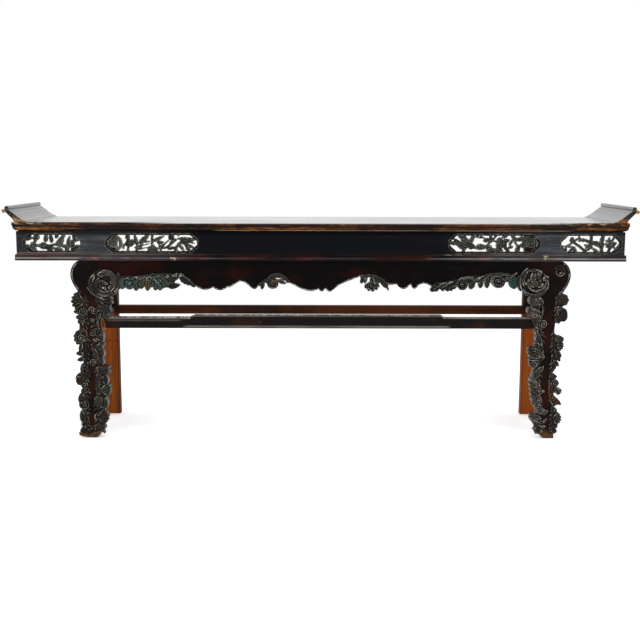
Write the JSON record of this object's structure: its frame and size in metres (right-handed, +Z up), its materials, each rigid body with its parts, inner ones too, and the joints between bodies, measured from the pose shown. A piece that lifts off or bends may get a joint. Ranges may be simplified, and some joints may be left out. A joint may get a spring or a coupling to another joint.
{
  "type": "altar table",
  "caption": "Long standing-height Chinese altar table with upswept end flanges, pierced carved frieze, cusped apron, carved front legs, plain back legs and stretchers.",
  "frame": {"origin": "on the floor, under the middle of the top", "axes": "+X along the table's length, -Y towards the decorated front, +Z up"},
  "size_m": [2.6, 0.5, 0.972],
  "materials": {
    "top_lacquer": "polished dark brown lacquer",
    "edge_lacquer": "dark lacquer worn through to ochre",
    "flange_lacquer": "polished dark lacquer, worn at the front ends",
    "black_lacquer": "blue-black lacquer over dark red, lightly worn",
    "carving_paint": "carved, grey-green paint worn on the high spots",
    "openwork_paint": "carved, grey-green paint worn on the high spots",
    "brown_stain": "thin orange-brown stain, satin",
    "bare_wood": "unfinished",
    "bamboo": "unfinished"
  },
  "bodies": {
    "root": {"apron_board": "black_lacquer", "apron_flower_left": "carving_paint", "apron_flower_right": "carving_paint", "apron_foliage_left": "carving_paint", "apron_foliage_right": "carving_paint", "apron_pins": "bamboo", "back_joint_pegs": "bamboo", "back_leg_left": "brown_stain", "back_leg_right": "brown_stain", "back_rail": "brown_stain", "back_stretcher": "brown_stain", "flange_cap_left": "flange_lacquer", "flange_cap_right": "flange_lacquer", "flange_dowels": "bamboo", "flange_left": "flange_lacquer", "flange_right": "flange_lacquer", "frieze_board": "black_lacquer", "frieze_moulding": "black_lacquer", "front_joint_pegs": "bamboo", "front_leg_left": "black_lacquer", "front_leg_right": "black_lacquer", "front_stretcher": "black_lacquer", "openwork_inner_left": "openwork_paint", "openwork_inner_right": "openwork_paint", "openwork_outer_left": "openwork_paint", "openwork_outer_right": "openwork_paint", "roundel_dowels": "bamboo", "roundel_left": "carving_paint", "roundel_right": "carving_paint", "side_rail_left": "brown_stain", "side_rail_right": "brown_stain", "side_stretcher_left": "brown_stain", "side_stretcher_right": "brown_stain", "top_back_rail": "edge_lacquer", "top_batten_1": "bare_wood", "top_batten_2": "bare_wood", "top_batten_3": "bare_wood", "top_batten_4": "bare_wood", "top_end_left": "edge_lacquer", "top_end_right": "edge_lacquer", "top_front_rail": "edge_lacquer", "top_panel": "top_lacquer", "vine_inner_left": "carving_paint", "vine_inner_right": "carving_paint", "vine_outer_left": "carving_paint", "vine_outer_right": "carving_paint", "vine_pins": "bamboo"}
  },
  "joints": []
}
